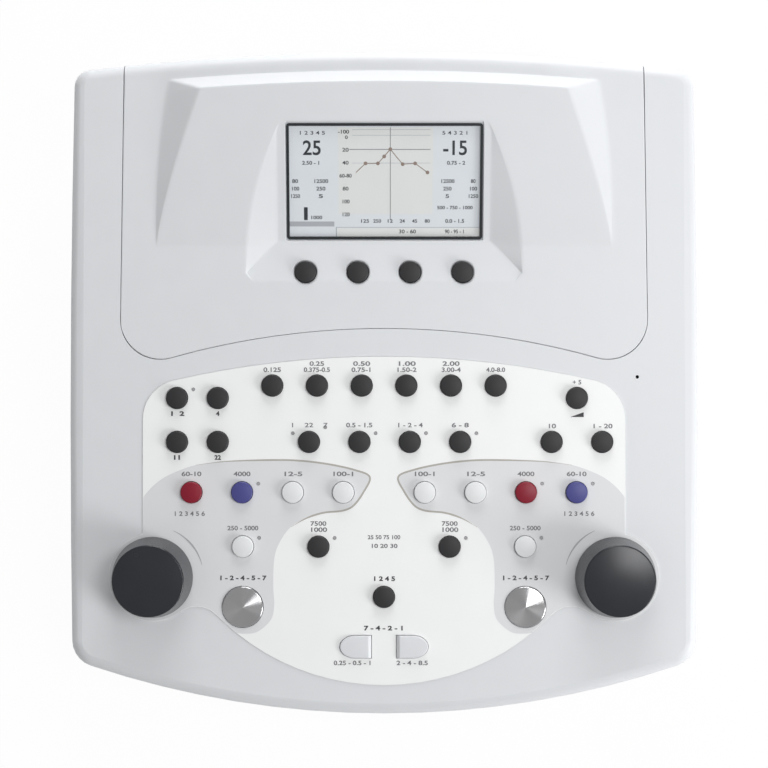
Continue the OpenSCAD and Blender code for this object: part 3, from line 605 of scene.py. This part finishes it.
# The part of a button's profile that is under the deck: a stem on the switch and a flange behind the panel.
def stemProfile(stem, flange, radius):
    k = keys
    return [(0, k["stemFoot"]), (stem, k["stemFoot"]), (stem, k["flangeFoot"]), (flange, k["flangeFoot"]),
            (flange, k["flangeTop"]), (radius, k["flangeTop"])]


def makeKeys():
    k = keys
    rim = k["radius"] - k["edge"]
    shoulder = k["top"] - k["crown"] * (rim / k["radius"]) ** 2
    profile = stemProfile(k["stem"], k["flange"], k["radius"])
    profile += arc((rim, shoulder - k["edge"]), k["edge"], 0, 84)
    profile += dome(k["radius"], k["crown"], k["top"], rim, 9)
    for node, place in places.items():
        drop = softKeys["drop"] if node.startswith("soft") else 0
        slot = slotOf[node]
        piece = turned(node + "_cap", profile, place, drop)
        settle(paint(piece, finishes[slotFinish[slot]]), node, slot, node)
    print("keys made")


knobs = {   # millimetres; heights are above the deck
    "at": (117.0, -97.7), "base": 1.0, "baseRadius": 20.45, "topRadius": 17.95, "height": 22.0, "crown": 1.2,
    "edge": 0.9, "foot": 0.4, "bore": 3.06, "boreTop": 16.2, "hub": 6.5, "hubFoot": 3.0, "hollow": 15.45,
    "hollowTop": 17.5, "wall": 2.2,
}


# A hollow knob with a bored hub, leaning sides, a small round at the foot, a larger one at the top and a flat dome.
# The top's round stops just short of level, where the dome takes over.
def makeKnobs():
    k = knobs
    rim, foot = k["topRadius"] - k["edge"], k["baseRadius"] - k["foot"]
    lean = math.degrees(math.atan((k["baseRadius"] - k["topRadius"]) / (k["height"] - k["base"])))
    crown = dome(k["topRadius"], k["crown"], k["height"], rim, 14)
    rimTop = crown[0][1]
    profile = [(0, k["boreTop"]), (k["bore"], k["boreTop"]), (k["bore"], k["hubFoot"]), (k["hub"], k["hubFoot"]),
               (k["hub"], k["hollowTop"]), (k["hollow"], k["hollowTop"]), (k["baseRadius"] - k["wall"], k["base"]),
               (foot, k["base"])]
    profile += arc((foot, k["base"] + k["foot"]), k["foot"], -90, lean, 5)
    profile += arc((rim, rimTop - k["edge"] + 0.05), k["edge"], lean, 88, 12) + crown
    for side, s in sides:
        piece = turned(f"{side}_knob_body", profile, (s * k["at"][0], k["at"][1]), steps=128)
        settle(paint(piece, finishes["knob"]), f"knob_{side}", "knob", f"knob_{side}")
    print("knobs made")


buttons = {   # the two spun metal buttons, millimetres and degrees: a shallow cone with a rounded edge and tip
    "at": (71.5, -112.8), "radius": 10.35, "rim": 1.2, "slope": 8.0, "edge": 0.6, "tip": 0.9, "stem": 2.5,
    "flange": 11.85,
}


# The cone's height falls evenly with the radius; inside the tip it becomes a parabola that joins it smoothly.
def makeButtons():
    b = buttons
    slope = math.tan(math.radians(b["slope"]))
    rounded = arc((b["radius"] - b["edge"], b["rim"] - b["edge"]), b["edge"], 0, 90 - b["slope"])
    lastR, lastW = rounded[-1]
    apex = lastW + lastR * slope
    cone = [(r, apex - slope * (r if r > b["tip"] else (r * r + b["tip"] ** 2) / (2 * b["tip"])))
            for r in np.linspace(lastR, 0, 26)[1:]]
    profile = stemProfile(b["stem"], b["flange"], b["radius"]) + rounded + cone
    for side, s in sides:
        piece = turned(f"{side}_metal_button", profile, (s * b["at"][0], b["at"][1]), steps=128)
        settle(paint(piece, finishes["spunMetal"]), f"interrupter_{side}", "chrome", f"interrupter_{side}")
    print("metal buttons made")


stepKeys = {   # the two D-shaped keys at the front, millimetres
    "inner": 6.4, "outer": 22.3, "v": -132.9, "half": 5.65, "middle": 14.6, "top": 1.9, "edge": 0.6, "flange": 1.2,
    "slope": 1.1, "slopeFoot": 0.3, "centre": 13.5, "crown": 0.15,
}


# Outline of a D key: a straight inner side, two straight flanks and half an ellipse, drawn in by g; the inner side
# also leans in by its own amount.
def stepOutline(g, lean):
    k = stepKeys
    inner, half = k["inner"] + g + lean, k["half"] - g
    t = np.radians(np.linspace(90, -90, 40))
    flank = np.linspace(inner, k["middle"], 6)[:-1]
    bow = k["middle"] + (k["outer"] - g - k["middle"]) * np.cos(t)
    x = np.concatenate([flank, bow, flank[::-1], np.full(8, inner)])
    y = np.concatenate([np.full(5, half), half * np.sin(t), np.full(5, -half), np.linspace(-half, half, 10)[1:-1]])
    return x, y


# Outlines stacked from the flange's underside over the rounded rim, then drawn in to the middle over a slight crown.
def makeStepKeys():
    k = stepKeys
    levels = [(-k["flange"], keys["flangeFoot"], 0), (-k["flange"], keys["flangeTop"], 0),
              (0, keys["flangeTop"], 0), (0, k["slopeFoot"], 0)]   # draw-in, height, lean
    levels += [(k["edge"] * (1 - math.cos(a)), k["top"] - k["edge"] * (1 - math.sin(a)), k["slope"])
               for a in np.linspace(0, math.pi / 2, 7)]
    outlines = [(*stepOutline(g, lean), w) for g, w, lean in levels]
    x, y, w = outlines[-1]
    for share in (0.8, 0.5, 0.25, 0):
        outlines.append((k["centre"] + (x - k["centre"]) * share, y * share, w + k["crown"] * (1 - share ** 2)))
    outlines.insert(0, (np.full(len(x), k["centre"]), np.zeros(len(y)), outlines[0][2]))
    for side, s in sides:
        points = np.stack([onDeck(s * px, k["v"] + py, pw) for px, py, pw in outlines])
        piece = crispEdges(closeUp(gridPiece(f"{side}_step_key", points, closeColumns=True)))
        settle(paint(piece, finishes["stepKey"]), f"frequency_key_{side}", "key_light", f"frequency_key_{side}")
    print("step keys made")


# Turns places on the display's window, from its middle, into the frame.
def onDisplay(x, y, z):
    c, s = math.cos(math.radians(hood["recessTilt"])), math.sin(math.radians(hood["recessTilt"]))
    u, v = window["centre"]
    return onDeck(u + x, v + y * c - z * s, recessFloor(v) + y * s + z * c)


def circleLoop(centre, radius, count=48):
    t = np.linspace(0, 2 * math.pi, count, endpoint=False)
    return np.stack([centre[0] + radius * np.cos(t), centre[1] + radius * np.sin(t)], -1)


def boxLoop(x0, y0, x1, y1):
    return np.array([(x0, y0), (x1, y0), (x1, y1), (x0, y1)], float)


# A box with quarter circles at its corners.
def roundBoxLoop(halfX, halfY, radius):
    t = np.radians(np.linspace(0, 90, 6))
    quarter = np.stack([np.cos(t), np.sin(t)], -1) * radius
    corners = [(1, 1, 0), (-1, 1, 90), (-1, -1, 180), (1, -1, 270)]
    loops = []
    for sx, sy, turn in corners:
        a = math.radians(turn)
        rotated = quarter @ np.array([[math.cos(a), math.sin(a)], [-math.sin(a), math.cos(a)]])
        loops.append(rotated + [sx * (halfX - radius), sy * (halfY - radius)])
    return np.concatenate(loops)


# Points and faces of flat loops, filled with their holes left open, thick along z.
def filledLoops(loops, thick):
    curve = bpy.data.curves.new("loops", "CURVE")
    curve.dimensions = "2D"
    curve.fill_mode = "BOTH"
    curve.extrude = thick / 2
    for loop in loops:
        spline = curve.splines.new("POLY")
        spline.points.add(len(loop) - 1)
        spline.points.foreach_set("co", np.column_stack([loop, np.zeros(len(loop)), np.ones(len(loop))]).ravel())
        spline.use_cyclic_u = True
    return meshArrays(curve)


# Filled digits, drawn thicker by the bold part of their size and stretched to a width.
def filledText(text, size, at, thick, wide, bold):
    curve = bpy.data.curves.new("digits", "FONT")
    curve.body = text
    curve.size = size
    curve.extrude = thick / 2
    curve.offset = bold * size
    curve.align_x = "CENTER"
    curve.align_y = "CENTER"
    points, faces = meshArrays(curve)
    points[:, 0] *= wide / np.ptp(points[:, 0])
    return points + np.array([*at, 0]), faces


# Takes the points and faces out of a curve and clears the curve away.
def meshArrays(curve):
    holder = bpy.data.objects.new("holder", curve)
    bpy.context.scene.collection.objects.link(holder)
    mesh = bpy.data.meshes.new_from_object(holder.evaluated_get(bpy.context.evaluated_depsgraph_get()))
    points = np.zeros(len(mesh.vertices) * 3)
    mesh.vertices.foreach_get("co", points)
    faces = [tuple(face.vertices) for face in mesh.polygons]
    bpy.data.objects.remove(holder)
    bpy.data.meshes.remove(mesh)
    bpy.data.curves.remove(curve)
    return points.reshape(-1, 3), faces


# One mesh of flat printed parts, each (points, faces, finish name), laid by a placing function at a height.
def printSheet(name, parts, place, height):
    points, faces, slots, names = [], [], [], []
    count = 0
    for partPoints, partFaces, tint in parts:
        if tint not in names:
            names.append(tint)
        points.append(partPoints)
        faces += [tuple(i + count for i in face) for face in partFaces]
        slots += [names.index(tint)] * len(partFaces)
        count += len(partPoints)
    points = np.concatenate(points)
    mesh = bpy.data.meshes.new(name)
    mesh.from_pydata(place(points[:, 0], points[:, 1], height + points[:, 2]).tolist(), [], faces)
    for tint in names:
        mesh.materials.append(finishes[tint])
    mesh.polygons.foreach_set("material_index", slots)
    mesh.update()
    piece = bpy.data.objects.new(name, mesh)
    bpy.context.scene.collection.objects.link(piece)
    return piece


makeKeys()
makeKnobs()
makeButtons()
makeStepKeys()

panel = {   # the control overlay, millimetres on the deck
    "top": 0.4, "half": 122.0, "lobe": 22.4, "fillet": 14.0, "lowMiddle": (0.0, -33.2), "lowRadius": 119.1,
    "inset": 0.3, "ink": 0.02, "line": 0.048, "lineWidth": 0.9,
    "keyHole": 5.7, "buttonHole": 10.65, "lightHole": 0.95, "light": (8.2, 4.4),
}
zone = [   # the grey channel field of the right side, from the panel's edge over the top to its lower end
    (122.0, -57.4), (117.3, -52.0), (112.0, -47.8), (105.7, -44.6), (95.2, -41.0), (80.6, -39.2), (59.7, -38.5),
    (44.0, -38.7), (28.4, -40.5), (14.8, -43.5), (7.2, -47.0), (10.0, -54.1), (15.3, -61.4), (21.0, -64.1),
    (30.5, -65.1), (38.8, -67.7), (47.1, -72.3), (52.9, -80.3), (55.5, -88.6), (56.0, -102.2), (55.5, -111.1),
    (56.5, -117.8), (59.7, -122.1), (64.9, -125.7), (71.2, -126.3), (76.0, -125.6)]


# A smooth curve through the points: each stretch is a cubic that passes its ends along the line of their neighbours.
def smoothPath(points):
    p = np.array(points, float)
    p = np.concatenate([[2 * p[0] - p[1]], p, [2 * p[-1] - p[-2]]])
    t = np.linspace(0, 1, 6, endpoint=False)[:, None]
    a, b, c, d = (p[i:len(p) - 3 + i, None, :] for i in range(4))
    path = 0.5 * (2 * b + (c - a) * t + (2 * a - 5 * b + 4 * c - d) * t ** 2 + (3 * b - 3 * c + d - a) * t ** 3)
    return np.concatenate([path.reshape(-1, 2), p[-2:-1]])


# Where two circles meet, on the left of the line from the first middle to the second.
def meet(c1, r1, c2, r2):
    c1, c2 = np.array(c1), np.array(c2)
    d = np.linalg.norm(c2 - c1)
    a = (r1 ** 2 - r2 ** 2 + d ** 2) / (2 * d)
    e = (c2 - c1) / d
    return c1 + a * e + math.sqrt(r1 ** 2 - a ** 2) * np.array([-e[1], e[0]])


# Points along an arc, in degrees clockwise from straight up.
def arcLoop(centre, radius, start, end, count):
    t = np.radians(np.linspace(start, end, count))
    return np.stack([centre[0] + radius * np.sin(t), centre[1] + radius * np.cos(t)], -1)


# The direction from one point to another, in the same degrees.
def bearing(centre, point):
    return math.degrees(math.atan2(point[0] - centre[0], point[1] - centre[1])) % 360


# The panel's edge, drawn in by g: from its straight side in a lobe round the knob, through a fillet that touches
# both circles, along the low arc to the middle.
def panelLowEdge(g):
    p, knob = panel, knobs["at"]
    middle = meet(knob, p["lobe"] + p["fillet"], p["lowMiddle"], p["lowRadius"] + p["fillet"])
    leave = bearing(knob, middle)
    join = bearing(p["lowMiddle"], middle)
    start = math.degrees(math.asin((p["half"] - knob[0]) / p["lobe"]))
    lobe = arcLoop(knob, p["lobe"] - g, start, leave, 40)
    fillet = arcLoop(middle, p["fillet"] + g, leave + 180, join + 180, 12)
    low = arcLoop(p["lowMiddle"], p["lowRadius"] - g, join, 180, 60)
    return np.concatenate([lobe, fillet[1:], low[1:]])


# The outline of a stroke: the path moved half the width to either side, across its own direction.
def stroke(path, width):
    path = np.asarray(path, float)
    along = np.gradient(path, axis=0)
    across = np.stack([-along[:, 1], along[:, 0]], -1) / np.linalg.norm(along, axis=1)[:, None]
    half = np.broadcast_to(np.asarray(width, float) / 2, len(path))[:, None]
    return np.concatenate([path + across * half, (path - across * half)[::-1]])


def mirrored(loop, s):
    return loop * [s, 1]


# The grey fields: the zone's curve closed along the panel's edge, with the holes of keys, button and lights open,
# and a line along its crest that swells and thins out.
def makeZones():
    p, parts = panel, []
    edge = panelLowEdge(p["inset"])
    curve = smoothPath(zone)
    end = int(np.argmin(np.linalg.norm(edge - curve[-1], axis=1)))
    side = np.array([[p["half"] - p["inset"], curve[0][1]]])
    outline = np.concatenate([curve[1:-1], edge[:end + 1][::-1], side])
    for name, s in sides:
        holes = [circleLoop(places[f"{name}_channel_key_{i}"], p["keyHole"]) for i in range(1, 6)]
        holes.append(circleLoop((s * buttons["at"][0], buttons["at"][1]), p["buttonHole"]))
        for i in ((3, 5) if name == "left" else (3, 4, 5)):
            u, v = places[f"{name}_channel_key_{i}"]
            holes.append(circleLoop((u + p["light"][0], v + p["light"][1]), p["lightHole"], 24))
        parts.append((*filledLoops([mirrored(outline, s), *holes], p["ink"]), "zone"))
        line = smoothPath(zone[4:17])
        swell = np.minimum(np.linspace(0, 6, len(line)), np.linspace(9, 0, len(line)))
        width = p["lineWidth"] * np.clip(swell, 0.15, 1)
        parts.append((*filledLoops([stroke(mirrored(line, s), width)], p["line"]), "zoneLine"))
    settle(printSheet("panelFields", parts, onDeck, p["top"] + p["ink"] / 2), "case", "overlay")
    print("panel fields printed")


marks = {   # millimetres; bold and heavy are parts of the size
    "size": 3.1, "small": 2.8, "lineStep": 3.1, "bold": 0.02, "heavy": 0.035, "ink": 0.02, "lift": 0.06,
    "above": 7.9, "aboveMode": 8.4, "aboveChannel": 9.2, "aboveTalk": 8.5, "aboveStore": 9.1, "below": -8.0,
    "arrowRadius": 25.7, "arrowWidth": [0.2, 0.9, 0.2], "arrowFrom": 24, "arrowTo": 76,
}
plainMarks = {   # the numbers over a key, each with its width, the upper line first
    "top_key_1": [("0.125", 8.8)],
    "top_key_2": [("0.25", 7.3), ("0.375-0.5", 13.2)],
    "top_key_3": [("0.50", 8.6), ("0.75-1", 9.6)],
    "top_key_4": [("1.00", 8.6), ("1.50-2", 9.6)],
    "top_key_5": [("2.00", 8.6), ("3.00-4", 9.6)],
    "top_key_6": [("4.0-8.0", 9.6)],
    "level_key_1": [("+ 5", 4.4)],
    "level_key_2": [("10", 3.6)],
    "level_key_3": [("1 - 20", 9.6)],
}
modeMarks = [("0.5 - 1.5", 13.2), ("1 - 2 - 4", 12.4), ("6 - 8", 8.6)]
channelMarks = [("100-1", 10.0), ("12-5", 9.0), ("4000", 8.6), ("60-10", 10.0), ("250 - 5000", 15.6)]
presetMarks = [("1  2", 6.6), ("4", 1.8), ("11", 3.0), ("22", 3.2)]


# Plain numbers and simple signs stand where the panel is lettered; each with its width in millimetres.
def makeMarks():
    m, parts = marks, []

    def digits(text, u, v, wide, tint="ink", size=m["size"], bold=m["bold"]):
        parts.append((*filledText(text, size, (u, v), m["ink"], wide, bold), tint))

    def heavyDigits(text, u, v, wide):
        digits(text, u, v, wide, "inkDark", bold=m["heavy"])

    def above(node, *lines, lift=m["above"], bold=m["bold"]):
        u, v = places[node]
        for i, (text, wide) in enumerate(reversed(lines)):
            digits(text, u, v + lift + i * m["lineStep"], wide, bold=bold)

    for node, lines in plainMarks.items():
        above(node, *lines)
    for i, (text, wide) in enumerate(presetMarks):
        u, v = places[f"preset_key_{i + 1}"]
        heavyDigits(text, u, v + m["below"], wide)
    above("mode_key_1", ("1    22    7", 18.0), lift=m["aboveMode"], bold=0.01)
    for i, line in enumerate(modeMarks):
        above(f"mode_key_{i + 2}", line, lift=m["aboveMode"])
    for side, s in sides:
        for i, line in enumerate(channelMarks):
            above(f"{side}_channel_key_{i + 1}", line, lift=m["aboveChannel"])
        above(f"talk_key_{side}", ("7500", 8.0), ("1000", 8.0), lift=m["aboveTalk"])
        heavyDigits("1 - 2 - 4 - 5 - 7", s * buttons["at"][0], buttons["at"][1] + 14.6, 23.4)
        digits("1 2 3 4 5 6", s * 98.5, -65.7, 15.2)
    digits("0.25 - 0.5 - 1", -15.8, stepKeys["v"] - 8.3, 18.6)
    digits("2 - 4 - 8.5", 14.3, stepKeys["v"] - 8.3, 15.8)
    digits("25 50 75 100", 0, -77.6, 16.5, size=m["small"])
    digits("10 20 30", 0, -82.0, 13.0, size=m["small"])
    u, v = places["store_key"]
    heavyDigits("1 2 4 5", u, v + m["aboveStore"], 10.6)
    heavyDigits("7 - 4 - 2 - 1", 0, -123.6, 19.6)
    u, v = places["level_key_1"]
    ramp = np.array([(-3.4, -1.2), (3.4, -1.2), (3.4, 1.2)]) + [u, v + m["below"] - 0.4]
    parts.append((*filledLoops([ramp], m["ink"]), "inkDark"))

    # Tapered turn arrows beside the knobs.
    spine = arcLoop(knobs["at"] * np.array([-1, 1]), m["arrowRadius"], m["arrowFrom"], m["arrowTo"], 24)
    loop = stroke(spine, np.interp(np.linspace(0, 1, 24), [0, 0.5, 1], m["arrowWidth"]))
    for s in (-1, 1):
        parts.append((*filledLoops([mirrored(loop, -s)], m["ink"]), "arrow"))
    settle(printSheet("panelMarks", parts, onDeck, panel["top"] + m["lift"]), "case", "overlay")
    print("marks printed")


screen = {   # heights in millimetres, places in shares of the lit area, from its upper left
    "top": -1.68, "step": 0.012, "size": 2.6,
    "rowStart": 0.50, "rowStep": 0.068, "scaleStart": 0.217, "scaleStep": 0.117,
    "curve": [(0.35, 0.42), (0.40, 0.338), (0.465, 0.338), (0.498, 0.275), (0.53, 0.21), (0.56, 0.275),
              (0.595, 0.345), (0.66, 0.338), (0.725, 0.42)],
    "noDot": (0, 5),   # the curve's points that have no dot
}


# The display's picture: two level read-outs, a graph with a curve, a foot bar.
def makeScreen():
    wide, high = window["active"]
    parts = []

    def at(fx, fy):
        return ((fx - 0.5) * wide, (0.5 - fy) * high)

    def lay(points, faces, tint, layer):
        parts.append((points + [0, 0, layer * screen["step"]], faces, tint))

    def box(x0, y0, x1, y1, tint, layer=1):
        lay(*filledLoops([boxLoop(*at(x0, y1), *at(x1, y0))], screen["step"]), tint, layer)

    def digits(text, fx, fy, wide, size=2.4, bold=0.02):
        lay(*filledText(text, size, at(fx, fy), screen["step"], wide, bold), "screenInk", 3)

    def line(path, width, tint):
        lay(*filledLoops([stroke([at(*p) for p in path], width)], screen["step"]), tint, 2)

    box(0, 0, 1, 1, "display", 0)
    box(0.255, 0.015, 0.755, 0.80, "screenPale")
    box(0.25, 0.925, 1, 1, "screenPale")
    box(0.0, 0.865, 0.235, 0.91, "screenGrey")
    digits("1 2 3 4 5", 0.12, 0.065, 12.6, screen["size"], 0.01)
    digits("25", 0.12, 0.205, 9.0, 10.2, 0.016)
    digits("2.50 - 1", 0.115, 0.335, 8.6, screen["size"])
    digits("5 4 3 2 1", 0.87, 0.065, 12.6, screen["size"], 0.01)
    digits("-15", 0.87, 0.205, 12.0, 10.2, 0.016)
    digits("0.75 - 2", 0.875, 0.335, 9.2, screen["size"])
    digits("1", 0.085, 0.80, 1.9, 8.8, 0.03)
    digits("1000", 0.14, 0.83, 5.6)
    for row, (left, right) in enumerate((("80", "12500"), ("100", "250"), ("1250", "5"))):
        fy = screen["rowStart"] + row * screen["rowStep"]
        digits(left, 0.03, fy, 3.0 + row * 0.7, screen["size"])
        digits(right, 0.165, fy, 7.0 - row * 2.4, screen["size"])
        digits(right, 0.83, fy, 6.6 - row * 2.4, screen["size"])
        digits(left, 0.965, fy, 2.4 + row * 1.2, screen["size"])
    digits("-100", 0.285, 0.055, 5.6, screen["size"])
    digits("0", 0.30, 0.105, 1.4, 2.4)
    scale = (("20", 3.2), ("40", 3.2), ("60-80", 6.2), ("80", 3.0), ("100", 3.6), ("120", 3.6))
    for row, (text, span) in enumerate(scale):
        digits(text, 0.295, screen["scaleStart"] + row * screen["scaleStep"], span, screen["size"])
    for column, text in enumerate(("125", "250", "12", "24", "45", "80")):
        digits(text, 0.395 + column * 0.066, 0.862, 4.0 if column < 2 else 2.6)
    digits("500 - 750 - 1000", 0.87, 0.74, 18.0)
    digits("0.0 - 1.5", 0.87, 0.862, 9.6, screen["size"])
    digits("30 - 60", 0.62, 0.958, 8.6, screen["size"])
    digits("90 - 95 - 1", 0.87, 0.958, 9.6, screen["size"])
    line([(0.53, 0.015), (0.53, 0.855)], 0.42, "screenLine")
    line([(0.315, 0.212), (0.74, 0.212)], 0.42, "screenLine")
    for fy in (0.035, 0.085, 0.335):
        line([(0.33, fy), (0.74, fy)], 0.22, "screenGrey")
    line([(0.245, 0.918), (1.0, 0.918)], 0.3, "screenGrey")
    line([(0.245, 0.918), (0.245, 1.0)], 0.3, "screenLine")
    curve = screen["curve"]
    line(curve[:5], 0.45, "screenCurve")
    line(curve[4:], 0.45, "screenCurve")
    for spot in [spot for i, spot in enumerate(curve) if i not in screen["noDot"]]:
        lay(*filledLoops([circleLoop(at(*spot), 0.95, 16)], screen["step"]), "screenCurve", 4)
    settle(printSheet("screenPicture", parts, onDisplay, screen["top"]), "case", "display")

    # The window is a dark border and a clear pane.
    outside = roundBoxLoop(window["size"][0] / 2, window["size"][1] / 2, window["corner"])
    opening = boxLoop(-wide / 2, -high / 2, wide / 2, high / 2)
    border = filledLoops([outside, opening], window["thick"])
    height = window["proud"] - window["thick"] / 2
    settle(printSheet("windowBorder", [(*border, "window")], onDisplay, height), "case", "window")
    pane = filledLoops([opening], window["paneThick"])
    glass = printSheet("windowPane", [(*pane, "glass")], onDisplay, height)
    settle(glass, "case", "window", "display_window")
    print("screen made")


makeZones()
makeMarks()
makeScreen()


# A pale floor that glows to the camera only, so that it reads as white, an even sky and three area lights.
def makeRoom():
    floorMesh = bpy.data.meshes.new("floor")
    reach = room["reach"]
    corners = [(-reach, -reach, 0), (reach, -reach, 0), (reach, reach, 0), (-reach, reach, 0)]
    floorMesh.from_pydata(corners, [], [(0, 1, 2, 3)])
    floor = bpy.data.objects.new("floor", floorMesh)
    bpy.context.scene.collection.objects.link(floor)
    material = bpy.data.materials.new("floor")
    material.use_nodes = True
    nodes, links = material.node_tree.nodes, material.node_tree.links
    shader = nodes["Principled BSDF"]
    shader.inputs["Base Color"].default_value = (*room["floor"], 1)
    shader.inputs["Roughness"].default_value = 0.9
    glow = nodes.new("ShaderNodeEmission")
    rays = nodes.new("ShaderNodeLightPath")
    share = nodes.new("ShaderNodeMath")
    share.operation = "MULTIPLY"
    share.inputs[1].default_value = room["floorGlow"]
    links.new(rays.outputs["Is Camera Ray"], share.inputs[0])
    both = nodes.new("ShaderNodeMixShader")
    links.new(share.outputs["Value"], both.inputs["Fac"])
    links.new(shader.outputs["BSDF"], both.inputs[1])
    links.new(glow.outputs["Emission"], both.inputs[2])
    links.new(both.outputs["Shader"], nodes["Material Output"].inputs["Surface"])
    floorMesh.materials.append(material)

    world = bpy.data.worlds.new("studio")
    world.use_nodes = True
    nodes, links = world.node_tree.nodes, world.node_tree.links
    sky = nodes["Background"]
    sky.inputs["Color"].default_value = (1, 1, 1, 1)
    sky.inputs["Strength"].default_value = room["skyStrength"]
    bpy.context.scene.world = world

    for name, light in room["lights"].items():
        data = bpy.data.lights.new(name, "AREA")
        data.size = light["size"]
        data.energy = light["power"]
        lamp = bpy.data.objects.new(name, data)
        lamp.location = light["place"]
        lamp.rotation_euler = (-lamp.location).to_track_quat("-Z", "Y").to_euler()
        bpy.context.scene.collection.objects.link(lamp)
    bpy.context.scene.view_settings.view_transform = "Standard"
    print("room lit")


makeRoom()
